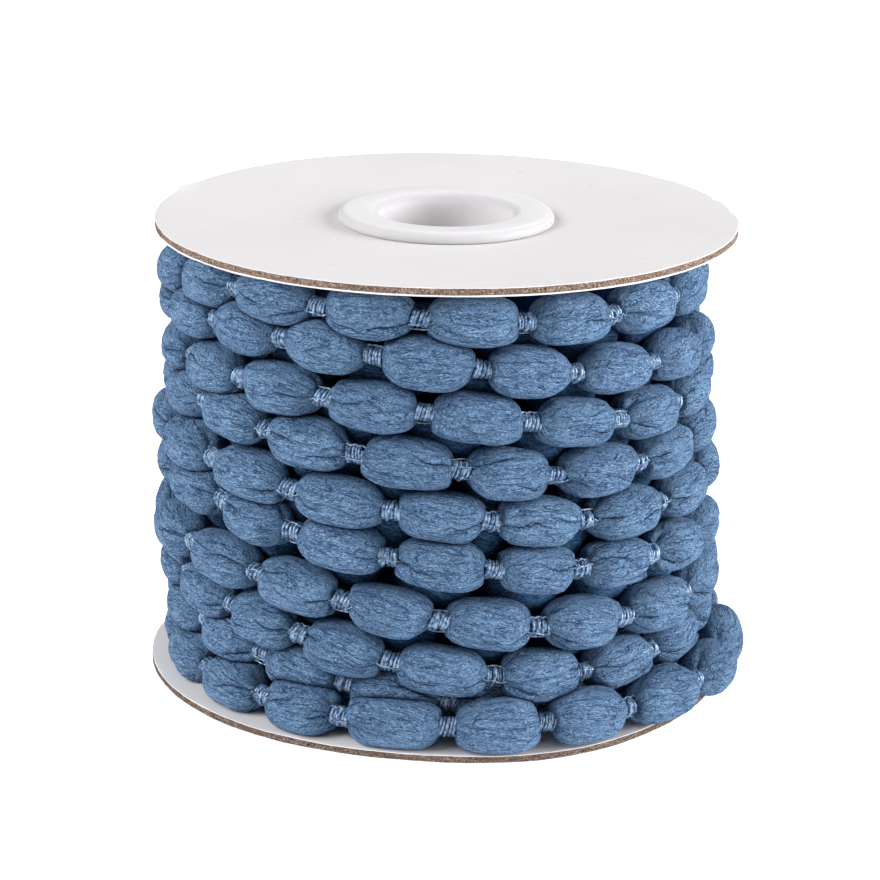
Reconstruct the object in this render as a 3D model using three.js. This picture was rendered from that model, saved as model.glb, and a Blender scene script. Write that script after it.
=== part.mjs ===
// Roll of pompom trim: a strand of long soft beads wound in turns round a spool of two board discs
// and a two-part plastic hub. Millimetres, +Z up. The origin is on the spool's axis, level with the
// foot of the lower hub, and the roll's front faces -Y.
import * as THREE from 'three';
import { mergeVertices } from 'three/addons/utils/BufferGeometryUtils.js';

// Spool. Heights are counted from the underside of the lower disc's rim.
const DISC_RADIUS = 50;
const BOARD = 1.5;
const RIM_TO_RIM = 79.8;
const DISH = 0.9;
const COLLAR_RADIUS = 18.4;
const COLLAR_STAND = 1.1;
const BORE_RADIUS = 11.4;
const TUBE_RADIUS = 13;
const LIP_RADIUS = 1.4;
const CLEAR = 0.3;

// Trim
const POD_RADIUS = 4.6;
const WAIST_RADIUS = 1.6;
const WAIST_LENGTH = 2.8;
const POD_ANGLE = 22.7;
const LAST_POD_ANGLE = 22;
const START_PODS = 8;
const END_PODS = 9;
const DRUM_RADIUS = 40.2;
const WINDING_SHIFT = -1;

// How thick a pod is along its length: share of its length, share of its full radius.
const POD_PROFILE = [
  [0, WAIST_RADIUS / POD_RADIUS],
  [0.09, 0.82],
  [0.34, 1],
  [0.66, 1],
  [0.91, 0.82],
  [1, WAIST_RADIUS / POD_RADIUS],
];

// The outer layer, one row a turn from the top down: the height of the strand's middle at seven angles
// round the front, where one of its waists lies near the front, and the strand's distance from the
// winding's axis at the left, the front and the right. Angles are in degrees, 0 at -Y, 90 at +X.
const TURN_ANGLES = [-90, -60, -30, 0, 30, 60, 90];
const TURNS = [
  { heights: [71.0, 73.5, 73.7, 73.3, 72.2, 71.5, 70.4], waist: -3.9, left: 44.8, front: 44.2, right: 42.8 },
  { heights: [64.8, 66.8, 67.3, 65.9, 63.3, 61.5, 59.8], waist: 10.0, left: 44.6, front: 44.2, right: 43.8 },
  { heights: [56.8, 58.5, 59.0, 57.9, 54.8, 52.0, 51.6], waist: -2.6, left: 44.2, front: 44.2, right: 43.8 },
  { heights: [50.0, 51.6, 51.2, 48.7, 45.7, 44.3, 44.0], waist: 4.7, left: 43.8, front: 44.2, right: 44.2 },
  { heights: [43.6, 43.2, 42.2, 40.4, 37.9, 36.7, 36.4], waist: 12.1, left: 45.6, front: 44.2, right: 44.6 },
  { heights: [35.6, 36.3, 34.4, 32.0, 29.3, 27.2, 25.4], waist: 12.1, left: 45.2, front: 44.2, right: 44.8 },
  { heights: [26.1, 26.6, 25.8, 22.7, 19.9, 17.9, 17.2], waist: 1.2, left: 45.2, front: 44.2, right: 44.8 },
  { heights: [18.0, 19.0, 17.2, 14.0, 11.7, 11.0, 10.4], waist: 13.2, left: 44.4, front: 44.2, right: 44.2 },
  { heights: [11.0, 11.4, 10.4, 8.0, 7.2, 6.8, 6.4], waist: 2.6, left: 43.8, front: 41.8, right: 39.6 },
  { heights: [5.6, 5.9, 5.5, 4.9, 4.6, 4.5, 4.6], waist: 2.7, left: 43.8, front: 46.0, right: 48.0 },
];
// Where the layer starts at the back, under the upper disc, and where the strand ends at the back.
const START = { angle: -187, height: 73.8, radius: 40.6 };
const END = { angle: 200, height: 5.4, radius: 46.8 };

// Mesh steps
const DISC_STEPS = 96;
const HUB_STEPS = 48;
const RING_STEPS = 48;
const VALLEY_STEPS_PER_POD = 3;
const LIP_STEPS = 4;
const STRIP_SHARES = [-0.44, -0.24, 0, 0.24, 0.44];
const THINNEST_STRIP = 1.2;

const BOARD_COLOUR = 0xe9e7e6;
const HUB_COLOUR = 0xf1eff0;
const TRIM_COLOUR = 0x5578a0;

const LAST = TURNS.length - 1;
const CENTRE_HOLE = TUBE_RADIUS + CLEAR;
const radians = THREE.MathUtils.degToRad;

// Heights of the spool's faces at a distance from the axis. The hub draws each disc's middle in.
function discTop(radius) {
  return RIM_TO_RIM - DISH * (DISC_RADIUS - radius) / (DISC_RADIUS - CENTRE_HOLE);
}

function windingTop(radius) {
  return discTop(radius) - BOARD - CLEAR;
}

// A curve through knots [x, y] with slopes from each knot's neighbours.
function smoothCurve(knots) {
  const slopes = knots.map((knot, i) => {
    const before = knots[Math.max(i - 1, 0)];
    const after = knots[Math.min(i + 1, knots.length - 1)];
    return (after[1] - before[1]) / (after[0] - before[0]);
  });
  return (x) => {
    let i = knots.findIndex((knot) => knot[0] > x) - 1;
    if (i < 0) i = x < knots[0][0] ? 0 : knots.length - 2;
    const [x0, y0] = knots[i];
    const [x1, y1] = knots[i + 1];
    const width = x1 - x0;
    const t = THREE.MathUtils.clamp((x - x0) / width, 0, 1);
    const rise = t * t * (3 - 2 * t);
    const leave = t * (1 - t) * (1 - t) * width * slopes[i];
    const arrive = t * t * (t - 1) * width * slopes[i + 1];
    return y0 + (y1 - y0) * rise + leave + arrive;
  };
}

// The strand's route. Its angle counts on from turn to turn, 360 degrees a turn.
const heightKnots = [[START.angle, START.height]];
const radiusKnots = [[START.angle, START.radius]];
TURNS.forEach((turn, k) => {
  TURN_ANGLES.forEach((angle, i) => heightKnots.push([360 * k + angle, turn.heights[i]]));
  radiusKnots.push([360 * k - 90, turn.left], [360 * k, turn.front], [360 * k + 90, turn.right]);
});
heightKnots.push([360 * LAST + END.angle, END.height]);
radiusKnots.push([360 * LAST + END.angle, END.radius]);
const strandHeight = smoothCurve(heightKnots);
const strandRadius = smoothCurve(radiusKnots);

// Angles of the waists, from the layer's start to the strand's end.
function waistAngles() {
  const fronts = TURNS.map((turn, k) => 360 * k + turn.waist);
  const angles = [];
  for (let i = START_PODS; i > 0; i--) angles.push(fronts[0] - i * POD_ANGLE);
  for (let k = 0; k < LAST; k++) {
    const span = fronts[k + 1] - fronts[k];
    const pods = Math.round(span / POD_ANGLE);
    for (let i = 0; i < pods; i++) angles.push(fronts[k] + span * i / pods);
  }
  for (let i = 0; i <= END_PODS; i++) angles.push(fronts[LAST] + i * LAST_POD_ANGLE);
  return angles;
}

const WAISTS = waistAngles();
const FIRST_ANGLE = WAISTS[0];
const END_ANGLE = WAISTS[WAISTS.length - 1];

function halfWaistAngle(angle) {
  return THREE.MathUtils.radToDeg(WAIST_LENGTH / 2 / strandRadius(angle));
}

// How thick the strand is at an angle: the pod's profile, or the waist between two pods.
function strandThickness(angle) {
  const i = WAISTS.findLastIndex((waist) => waist <= angle);
  if (i < 0 || i >= WAISTS.length - 1) return WAIST_RADIUS;
  const half = halfWaistAngle(angle);
  const share = (angle - WAISTS[i] - half) / (WAISTS[i + 1] - WAISTS[i] - 2 * half);
  if (share <= 0 || share >= 1) return WAIST_RADIUS;
  const j = POD_PROFILE.findIndex(([along]) => along > share);
  const [along0, thick0] = POD_PROFILE[j - 1];
  const [along1, thick1] = POD_PROFILE[j];
  return POD_RADIUS * THREE.MathUtils.mapLinear(share, along0, along1, thick0, thick1);
}

// The winding's outer surface: the farthest of the turns that cross this angle and height.
function surfaceRadius(angle, height) {
  let farthest = DRUM_RADIUS;
  for (const at of [angle - 360, angle, angle + 360]) {
    if (at < FIRST_ANGLE || at > END_ANGLE) continue;
    const thick = strandThickness(at);
    const off = Math.abs(height - strandHeight(at));
    if (off < thick) farthest = Math.max(farthest, strandRadius(at) + Math.sqrt(thick ** 2 - off ** 2));
  }
  return farthest;
}

// Height at which the turn at an angle meets the turn below it, seen from outside: where their round
// sections cross, or midway between them.
function meetingHeight(angle) {
  const upper = [strandRadius(angle), strandHeight(angle)];
  const lower = [strandRadius(angle + 360), strandHeight(angle + 360)];
  const apart = Math.hypot(lower[0] - upper[0], lower[1] - upper[1]);
  const half = apart / 2;
  const outward = Math.sqrt(Math.max(0, POD_RADIUS ** 2 - half ** 2));
  return upper[1] + (half * (lower[1] - upper[1]) + outward * (lower[0] - upper[0])) / apart;
}

// The same height, kept clear of the next such line above and below where a turn is nearly hidden.
function valleyHeight(angle) {
  const height = meetingHeight(angle);
  const above = angle - 360 < FIRST_ANGLE ? Infinity : meetingHeight(angle - 360) - height;
  const below = angle + 720 > END_ANGLE ? Infinity : height - meetingHeight(angle + 360);
  const lower = Math.max(0, THINNEST_STRIP - above) / 2;
  const raise = Math.max(0, THINNEST_STRIP - below) / 2;
  return height - lower + raise;
}

// Upper and lower edge of the strip that one turn fills at an angle.
function stripEdges(angle) {
  const reach = 0.9 * POD_RADIUS;
  const height = strandHeight(angle);
  const hasTurnAbove = angle - 360 >= FIRST_ANGLE;
  const hasTurnBelow = angle + 360 <= END_ANGLE;
  return {
    top: hasTurnAbove ? valleyHeight(angle - 360) : Math.min(windingTop(DRUM_RADIUS), height + reach),
    bottom: hasTurnBelow ? valleyHeight(angle) : Math.max(RIM_TO_RIM - windingTop(DRUM_RADIUS), height - reach),
  };
}

// Points of a mesh that is built row by row. Each row is a list of points with their angles.
class SkinMesh {
  constructor() {
    this.positions = [];
    this.triangles = [];
  }

  point(angle, radius, height, shift = 0) {
    const a = radians(angle);
    this.positions.push(shift + radius * Math.sin(a), -radius * Math.cos(a), height);
    return { angle, index: this.positions.length / 3 - 1 };
  }

  // Triangles between an upper and a lower row, taken in order of angle, facing outwards.
  join(upper, lower) {
    let i = 0;
    let j = 0;
    while (i < upper.length - 1 || j < lower.length - 1) {
      const stepUpper = j === lower.length - 1
        || (i < upper.length - 1 && upper[i + 1].angle < lower[j + 1].angle);
      const next = stepUpper ? upper[i + 1] : lower[j + 1];
      this.triangles.push(upper[i].index, lower[j].index, next.index);
      if (stepUpper) i++;
      else j++;
    }
  }

  geometry() {
    const geometry = new THREE.BufferGeometry();
    geometry.setAttribute('position', new THREE.Float32BufferAttribute(this.positions, 3));
    geometry.setIndex(this.triangles);
    geometry.computeVertexNormals();
    return geometry;
  }
}

// Angles at which the strand's rows have points: the ends and shoulders of each pod, and the two
// angles where the strand first passes under its start and last passes over its end.
function strandStations() {
  const stations = [FIRST_ANGLE, FIRST_ANGLE + 360, END_ANGLE - 360, END_ANGLE];
  for (let i = 0; i < WAISTS.length - 1; i++) {
    const half = halfWaistAngle(WAISTS[i]);
    const start = WAISTS[i] + half;
    const length = WAISTS[i + 1] - half - start;
    POD_PROFILE.forEach(([along]) => stations.push(start + along * length));
  }
  return stations.sort((a, b) => a - b);
}

function evenAngles(first, last, steps) {
  return Array.from({ length: steps + 1 }, (_, i) => first + (last - first) * i / steps);
}

// A closed ring of points. Its last entry is its first point again, a turn on.
function ring(skin, firstAngle, radius, height, shift) {
  const points = [];
  for (let i = 0; i < RING_STEPS; i++) {
    points.push(skin.point(firstAngle + 360 * i / RING_STEPS, radius, height, shift));
  }
  points.push({ angle: firstAngle + 360, index: points[0].index });
  return points;
}

function turned(row, degrees) {
  return row.map(({ angle, index }) => ({ angle: angle + degrees, index }));
}

function wound() {
  const skin = new SkinMesh();
  const stations = strandStations();

  // Five rows follow the strand, from its upper side over its crest to its lower side.
  const rows = STRIP_SHARES.map(() => []);
  for (const angle of stations) {
    const { top, bottom } = stripEdges(angle);
    const width = top - bottom;
    const middle = THREE.MathUtils.clamp(strandHeight(angle), bottom + 0.4 * width, top - 0.4 * width);
    const thick = strandThickness(angle);
    STRIP_SHARES.forEach((share, k) => {
      const side = -Math.sign(share);
      const edge = side > 0 ? top - middle : middle - bottom;
      const outermost = Math.abs(share) === Math.max(...STRIP_SHARES);
      const off = 2 * Math.abs(share) * edge;
      const height = middle + side * (outermost ? off : Math.min(off, 0.9 * thick));
      rows[k].push(skin.point(angle, surfaceRadius(angle, height), height, WINDING_SHIFT));
    });
  }
  for (let k = 0; k < rows.length - 1; k++) skin.join(rows[k], rows[k + 1]);
  const upperSide = rows[0];
  const lowerSide = rows[rows.length - 1];

  // One row lies in the valley between each turn and the next.
  const lastValley = END_ANGLE - 360;
  const valleySteps = Math.round((lastValley - FIRST_ANGLE) / POD_ANGLE * VALLEY_STEPS_PER_POD);
  const valley = evenAngles(FIRST_ANGLE, lastValley, valleySteps).map((angle) => {
    const height = valleyHeight(angle);
    return skin.point(angle, surfaceRadius(angle, height), height, WINDING_SHIFT);
  });
  skin.join(lowerSide.filter(({ angle }) => angle <= lastValley), valley);
  skin.join(valley, turned(upperSide.filter(({ angle }) => angle >= FIRST_ANGLE + 360), -360));

  // The first turn's upper side closes on the layer's start, and the last turn's lower side on its end.
  const start = rows.map((row) => row[0]);
  const end = rows.map((row) => row[row.length - 1]);
  const topEdge = [
    ...upperSide.filter(({ angle }) => angle <= FIRST_ANGLE + 360),
    ...turned([valley[0], ...start.slice().reverse()], 360),
  ];
  const bottomEdge = [
    ...turned([...end.slice().reverse(), valley[valley.length - 1]].map((p) => ({ ...p, angle: END_ANGLE })), -360),
    ...lowerSide.filter(({ angle }) => angle >= lastValley),
  ];

  // Rings close the winding under the upper disc, over the lower disc and round the hub's tube.
  const halfStep = 180 / RING_STEPS;
  const top = windingTop(DRUM_RADIUS);
  const topRim = ring(skin, FIRST_ANGLE - halfStep, DRUM_RADIUS, top, WINDING_SHIFT);
  const bottomRim = ring(skin, lastValley + halfStep, DRUM_RADIUS, RIM_TO_RIM - top, WINDING_SHIFT);
  const holeTop = ring(skin, FIRST_ANGLE - halfStep, CENTRE_HOLE, windingTop(CENTRE_HOLE), 0);
  const holeBottom = ring(skin, lastValley + halfStep, CENTRE_HOLE, RIM_TO_RIM - windingTop(CENTRE_HOLE), 0);
  skin.join(topRim, topEdge);
  skin.join(bottomEdge, bottomRim);
  skin.join(holeTop, topRim);
  skin.join(bottomRim, holeBottom);
  joinRings(skin, holeBottom, holeTop);
  return skin.geometry();
}

// Joins two closed rings whose first points lie at different angles.
function joinRings(skin, upper, lower) {
  const open = lower.slice(0, -1);
  const turns = Math.round((upper[0].angle - lower[0].angle) / 360);
  const shifted = turned(open, 360 * turns);
  const nearest = shifted.reduce((best, point, i) => (
    Math.abs(point.angle - upper[0].angle) < Math.abs(shifted[best].angle - upper[0].angle) ? i : best
  ), 0);
  const reordered = [...shifted.slice(nearest), ...turned(shifted.slice(0, nearest), 360)];
  reordered.push({ angle: reordered[0].angle + 360, index: reordered[0].index });
  skin.join(upper, reordered);
}

function lathed(outline, steps) {
  const geometry = new THREE.LatheGeometry([...outline, outline[0]], steps);
  geometry.rotateX(Math.PI / 2);
  geometry.deleteAttribute('uv');
  geometry.deleteAttribute('normal');
  const merged = mergeVertices(geometry, 1e-4);
  merged.computeVertexNormals();
  return merged;
}

// Outlines are [radius, height] round the section, as the upper piece has them. The lower piece has
// the same section upside down.
function outlineOf(points, isLower) {
  const placed = points.map(([radius, height]) => (
    new THREE.Vector2(radius, isLower ? RIM_TO_RIM - height : height)
  ));
  return isLower ? placed.reverse() : placed;
}

function disc(isLower) {
  const points = [
    [CENTRE_HOLE, discTop(CENTRE_HOLE) - BOARD],
    [DISC_RADIUS, discTop(DISC_RADIUS) - BOARD],
    [DISC_RADIUS, discTop(DISC_RADIUS)],
    [CENTRE_HOLE, discTop(CENTRE_HOLE)],
  ];
  return lathed(outlineOf(points, isLower), DISC_STEPS);
}

// A hub half: a tube to mid height, and a collar with a rounded rim and a rounded mouth.
function hub(isLower) {
  const face = RIM_TO_RIM + COLLAR_STAND;
  const foot = (RIM_TO_RIM + CLEAR) / 2;
  const rimFoot = discTop(COLLAR_RADIUS) + CLEAR;
  const points = [
    [BORE_RADIUS, foot],
    [TUBE_RADIUS, foot],
    [TUBE_RADIUS, discTop(TUBE_RADIUS) + CLEAR],
    [COLLAR_RADIUS - 0.3, rimFoot],
  ];
  const rise = face - rimFoot;
  for (let i = 0; i <= LIP_STEPS; i++) {
    const turn = Math.PI / 2 * i / LIP_STEPS;
    const height = rimFoot + 0.25 * rise + 0.75 * rise * Math.sin(turn);
    points.push([COLLAR_RADIUS - LIP_RADIUS * (1 - Math.cos(turn)), height]);
  }
  for (let i = 0; i <= LIP_STEPS; i++) {
    const turn = Math.PI / 2 * i / LIP_STEPS;
    points.push([BORE_RADIUS + LIP_RADIUS * (1 - Math.sin(turn)), face - LIP_RADIUS * (1 - Math.cos(turn))]);
  }
  return lathed(outlineOf(points, isLower), HUB_STEPS);
}

const board = new THREE.MeshStandardMaterial({ color: BOARD_COLOUR, roughness: 0.75, metalness: 0 });
const plastic = new THREE.MeshStandardMaterial({ color: HUB_COLOUR, roughness: 0.35, metalness: 0 });
const suede = new THREE.MeshStandardMaterial({ color: TRIM_COLOUR, roughness: 0.9, metalness: 0 });

const group = new THREE.Group();
const spool = new THREE.Group();
spool.position.z = COLLAR_STAND;
group.add(spool);

function add(name, geometry, material) {
  const mesh = new THREE.Mesh(geometry, material);
  mesh.name = name;
  spool.add(mesh);
}

add('winding', wound(), suede);
add('disc_upper', disc(false), board);
add('disc_lower', disc(true), board);
add('hub_upper', hub(false), plastic);
add('hub_lower', hub(true), plastic);

export default group;
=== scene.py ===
# Roll of pompom trim: long soft beads of brushed fibre, bound with thread at their ends and wound
# round a spool of two board discs and a plastic hub. Shapes are worked out in millimetres and
# written into the meshes in metres.
import math

import bmesh
import bpy
import numpy as np
from mathutils import Matrix, Vector


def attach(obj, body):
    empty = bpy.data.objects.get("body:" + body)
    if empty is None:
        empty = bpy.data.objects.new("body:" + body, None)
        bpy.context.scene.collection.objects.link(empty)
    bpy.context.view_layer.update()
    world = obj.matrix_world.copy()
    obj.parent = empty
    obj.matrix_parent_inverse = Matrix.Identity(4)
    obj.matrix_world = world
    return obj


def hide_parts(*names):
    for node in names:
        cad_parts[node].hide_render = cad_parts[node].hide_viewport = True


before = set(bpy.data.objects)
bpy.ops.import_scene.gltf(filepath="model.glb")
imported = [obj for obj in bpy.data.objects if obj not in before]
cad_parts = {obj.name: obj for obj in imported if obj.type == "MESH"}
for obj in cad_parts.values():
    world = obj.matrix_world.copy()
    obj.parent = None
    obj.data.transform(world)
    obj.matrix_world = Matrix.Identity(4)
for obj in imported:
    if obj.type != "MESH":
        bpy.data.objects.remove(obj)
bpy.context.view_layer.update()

MM = 0.001
TAU = 2 * math.pi

# Spool. Heights are counted from the underside of the lower disc's rim, which stands a little off
# the floor on the lower hub's collar.
DISC_RADIUS = 50.0
BOARD = 1.5
UPPER_FACING = 0.12
UNDER_FACING = 0.30
RIM_TO_RIM = 79.8
DISH = 0.9
CENTRE_HOLE = 13.3
COLLAR_RADIUS = 18.4
COLLAR_STAND = 1.1
WHOLE_HEIGHT = RIM_TO_RIM + 2 * COLLAR_STAND
BORE_RADIUS = 11.4
TUBE_RADIUS = 13.0
CLEAR = 0.3

# Trim. A pod's section and profile are ovals, squarer than an ellipse by the powers given here.
POD_RADIUS = 4.48
POD_FLATTENING = 0.94
SECTION_POWER = 2.35
PROFILE_POWER = 2.5
BINDING_LENGTH = 2.7
BINDING_RADIUS = 1.34
THREAD_RADIUS = 0.31
CARRY_RADIUS = 0.12
STRAY_RADIUS = 0.024
STRAY_FIBRES = 5
POD_ANGLE = 22.0
START_PODS = 6
END_PODS = 5
WINDING_SHIFT = -1.0
WAIST_LIFT = 0.7
END_OVERLAP = 0.2
RIM_SAG = 2.5

# The last turn is thicker than the others, most of all at this angle and within this reach of it.
LAST_TURN_GIRTH = 1.04
FULLEST_GIRTH = 0.09
FULLEST_ANGLE = 32
FULLEST_REACH = 16

# The strand's route, one row a turn from the top down: the height of its middle at seven angles
# round the front, the angles of the bound waists that show there, and its distance from the
# winding's axis at the left, the front and the right. Angles are in degrees, 0 at -Y and 90 at +X.
TURN_ANGLES = (-90, -60, -30, 0, 30, 60, 90)
TURN_HEIGHTS = (
    (71.0, 74.0, 74.2, 73.4, 72.1, 71.2, 70.6),
    (65.4, 67.6, 68.0, 66.0, 63.3, 61.5, 60.0),
    (58.0, 59.1, 59.2, 57.9, 54.8, 53.2, 53.4),
    (51.2, 52.6, 51.3, 48.9, 46.1, 45.5, 46.0),
    (44.6, 44.4, 42.7, 40.6, 38.3, 37.2, 37.0),
    (36.8, 37.6, 35.4, 32.4, 30.0, 28.5, 26.6),
    (27.2, 27.5, 26.2, 22.9, 20.4, 19.2, 18.8),
    (18.9, 19.8, 17.9, 14.2, 11.7, 11.5, 11.2),
    (12.6, 13.0, 11.0, 8.0, 7.2, 6.8, 6.4),
    (5.6, 5.8, 5.7, 5.2, 5.2, 4.9, 3.8),
)
TURN_WAISTS = (
    (-46.3, -25.0, -3.8, 18.0, 39.5),
    (-54.5, -33.8, -13.0, 8.9, 29.4, 52.0),
    (-46.0, -23.8, -2.6, 19.3, 41.0),
    (-38.2, -16.9, 5.0, 25.3, 47.6),
    (-54.2, -31.7, -9.3, 11.6, 32.6, 55.2),
    (-51.6, -31.2, -9.6, 12.0, 31.6, 51.5),
    (-40.0, -19.6, 1.0, 22.0, 43.2),
    (-48.8, -29.3, -9.0, 12.8, 32.8, 53.3),
    (-41.0, -19.7, 3.0),
    (-58.0, -38.0, -18.8, 3.0, 22.5, 41.0, 61.5, 81.0),
)
TURN_RADII = (
    (43.1, 44.2, 41.6),
    (43.0, 44.2, 42.6),
    (42.6, 44.2, 42.9),
    (43.0, 44.2, 43.4),
    (44.7, 44.2, 44.3),
    (43.7, 44.2, 44.7),
    (45.0, 44.2, 45.4),
    (43.2, 44.2, 44.0),
    (42.5, 41.8, 39.6),
    (42.7, 46.5, 49.8),
)
START = {"angle": -187, "height": 73.8, "radius": 40.6}
END = {"angle": 200, "height": 5.4, "radius": 46.8}
LAST = len(TURN_HEIGHTS) - 1

# The next layer down shows in the gaps: how many pods it starts sooner, how many degrees its
# waists lie off those above, how many before the strand's end it stops, how far inside it lies, by
# which share of a turn it lies lower, and how thick its pods are.
INNER_START_PODS = 5
INNER_OFFSET = 9
INNER_STOP = 365
INNER_DEPTH = 6.3
INNER_DROP = 0.5
INNER_RADIUS = 4.5
CORE_RADIUS = 33.0

# Pods nearer than so many half lengths press on each other. They stay a share of their thickness
# apart, found in so many halvings. Their vertices crowd on the side that shows.
PRESS_REACH = 2.2
PRESS_GAP = 0.015
PRESS_HALVINGS = 11
CROWDING = 0.45

# Mesh steps, and the angle between faces from which an edge is shaded sharp.
POD_AROUND = 48
POD_ALONG = 34
INNER_AROUND = 20
INNER_ALONG = 14
DISC_STEPS = 288
HUB_STEPS = 160
COIL_STEPS = 10
CORE_STEPS = 96
SHARP_ANGLE = math.radians(50)

random = np.random.default_rng(11)


# Shared mesh helpers


def new_object(name, data):
    made = bpy.data.objects.new(name, data)
    bpy.context.scene.collection.objects.link(made)
    return made


def mesh_of(name, bm):
    """A mesh of what was built, which ends the building."""
    mesh = bpy.data.meshes.new(name)
    bm.to_mesh(mesh)
    bm.free()
    return mesh


def add_object(name, mesh, materials):
    """A finished mesh as a piece of the roll, smooth-shaded, that rides on its one body."""
    piece = new_object(name, mesh)
    for material in materials:
        mesh.materials.append(material)
    mesh.shade_smooth()
    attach(piece, "root")
    return piece


def set_places(mesh, places):
    """Moves all vertices of a mesh to places given in millimetres."""
    mesh.vertices.foreach_set("co", (np.asarray(places) * MM).astype(np.float32).ravel())
    mesh.update()


def get_places(mesh):
    places = np.zeros(len(mesh.vertices) * 3, np.float32)
    mesh.vertices.foreach_get("co", places)
    return places.reshape(-1, 3).astype(float) / MM


def set_attribute(mesh, name, values):
    """A value or vector for each vertex, for the materials to read."""
    kind, field = ("FLOAT_VECTOR", "vector") if np.ndim(values) == 2 else ("FLOAT", "value")
    attribute = mesh.attributes.new(name, kind, "POINT")
    attribute.data.foreach_set(field, np.asarray(values, np.float32).ravel())


def smooth_step(low, high, value):
    share = np.clip((value - low) / (high - low), 0, 1)
    return share * share * (3 - 2 * share)


def smooth_curve(knots):
    """A curve through knots (x, y), with slopes from each knot's neighbours."""
    x, y = np.array(knots, float).T
    before = np.maximum(np.arange(len(x)) - 1, 0)
    after = np.minimum(np.arange(len(x)) + 1, len(x) - 1)
    slopes = (y[after] - y[before]) / (x[after] - x[before])

    def value(at):
        i = np.clip(np.searchsorted(x, at, side="right") - 1, 0, len(x) - 2)
        width = x[i + 1] - x[i]
        share = np.clip((at - x[i]) / width, 0, 1)
        rise = share * share * (3 - 2 * share)
        leave = share * (1 - share) ** 2 * width * slopes[i]
        arrive = share**2 * (share - 1) * width * slopes[i + 1]
        return y[i] + (y[i + 1] - y[i]) * rise + leave + arrive

    return value


# The strand's route


def route():
    """Height and radius of the strand as curves of its angle, which counts on from turn to turn."""
    heights = [(START["angle"], START["height"])]
    radii = [(START["angle"], START["radius"])]
    for k, (turn_heights, turn_radii) in enumerate(zip(TURN_HEIGHTS, TURN_RADII)):
        heights += [(360 * k + angle, z) for angle, z in zip(TURN_ANGLES, turn_heights)]
        radii += [(360 * k + angle, r) for angle, r in zip((-90, 0, 90), turn_radii)]
    heights.append((360 * LAST + END["angle"], END["height"]))
    radii.append((360 * LAST + END["angle"], END["radius"]))
    return smooth_curve(heights), smooth_curve(radii)


strand_height, strand_radius = route()


def strand_place(angle, depth=0.0, drop=0.0):
    """Middle of the strand, or of one depth inside it and a share, drop, of a turn below it."""
    lower = angle + 360
    radius = strand_radius(angle) * (1 - drop) + strand_radius(lower) * drop - depth
    height = strand_height(angle) * (1 - drop) + strand_height(lower) * drop
    a = np.radians(angle)
    x = WINDING_SHIFT + radius * np.sin(a)
    return np.stack([x, -radius * np.cos(a), COLLAR_STAND + height], axis=-1)


def waist_angles():
    """Angles of the bound waists between the pods, from the layer's start to the strand's end."""
    seen = [360 * k + angle for k, row in enumerate(TURN_WAISTS) for angle in row]
    angles = [seen[0] - i * POD_ANGLE for i in range(START_PODS, 0, -1)]

    # Pods keep their usual length between seen waists, and so round the unseen back too.
    for here, following in zip(seen, seen[1:]):
        pods = round((following - here) / POD_ANGLE - 0.01)
        angles += [here + (following - here) * i / pods for i in range(pods)]
    angles += [seen[-1] + i * POD_ANGLE for i in range(END_PODS + 1)]
    return np.array(angles)


# Pods


def end_slimming(t):
    """A pod's ends are thinner from front to back than from top to bottom."""
    return 1 - 0.20 * smooth_step(0.5, 1.0, np.abs(t))


class Pod:
    """One soft bead: its own axes, size and the pinches that run in from its two ends."""

    def __init__(self, first, last, turn, thick, depth=0.0, drop=0.0):
        start, end = (strand_place(a, depth - WAIST_LIFT, drop) for a in (first, last))
        self.turn = turn
        self.centre = (start + end) / 2
        self.along = (end - start) / np.linalg.norm(end - start)
        angle = math.radians((first + last) / 2)
        out = np.array([math.sin(angle), -math.cos(angle), 0])
        out -= out @ self.along * self.along
        self.out = out / np.linalg.norm(out)
        self.up = np.cross(self.out, self.along)
        self.half = np.linalg.norm(end - start) / 2 + END_OVERLAP
        self.bow = random.uniform(-0.15, 0.3)
        self.thick = thick * random.uniform(0.96, 1.04)
        self.taper = random.uniform(1.10, 1.36, 2)
        self.blunt = random.uniform(4.2, 7.0, 2)
        self.twist = random.uniform(-0.3, 0.3)
        self.seed = random.uniform(-500, 500, 3)
        # A pod's tone differs at random, and painted shade makes it darker at the front and back of
        # the winding and lighter at its sides.
        self.tone = random.uniform(-0.8, 0.8) + math.cos(2 * angle)
        self.pinches = ([], [])

    def axis(self, t):
        """The pod's middle line, t from -1 to 1."""
        bow = self.bow * (1 - t**2)
        middle = self.centre + np.multiply.outer(t * self.half, self.along)
        return middle + np.multiply.outer(bow, self.out)

    def profile(self, t):
        """The pod's thickness along its length as a share: a full oval cut short by blunt ends."""
        taper = np.where(t > 0, self.taper[1], self.taper[0])
        blunt = np.where(t > 0, self.blunt[1], self.blunt[0])
        body = (1 - np.abs(t / taper) ** PROFILE_POWER) ** (1 / PROFILE_POWER)
        return body * np.maximum(0, 1 - np.abs(t) ** blunt) ** (1 / blunt)

    def surface(self, t, around, keep=1.0):
        """A place on the surface. Around 0 is outwards, a quarter turn is up; keep is a share."""
        out, up = np.cos(around), np.sin(around)
        square = (np.abs(out) ** SECTION_POWER + np.abs(up) ** SECTION_POWER) ** (1 / SECTION_POWER)
        radius = self.thick * keep * self.profile(t) / square
        outwards = np.multiply.outer(radius * out * end_slimming(t), self.out)
        return self.axis(t) + outwards + np.multiply.outer(radius * up * POD_FLATTENING, self.up)

    def press(self, places):
        """1 on the pod's plain surface, less inside and more outside."""
        local = places - self.centre
        t = np.clip(local @ self.along / self.half, -1, 1)
        outwards = np.abs(local @ self.out - self.bow * (1 - t * t)) / end_slimming(t)
        upwards = np.abs(local @ self.up) / POD_FLATTENING
        size = (outwards**SECTION_POWER + upwards**SECTION_POWER) ** (1 / SECTION_POWER)
        return size / self.thick / np.maximum(self.profile(t), 0.001)


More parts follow.
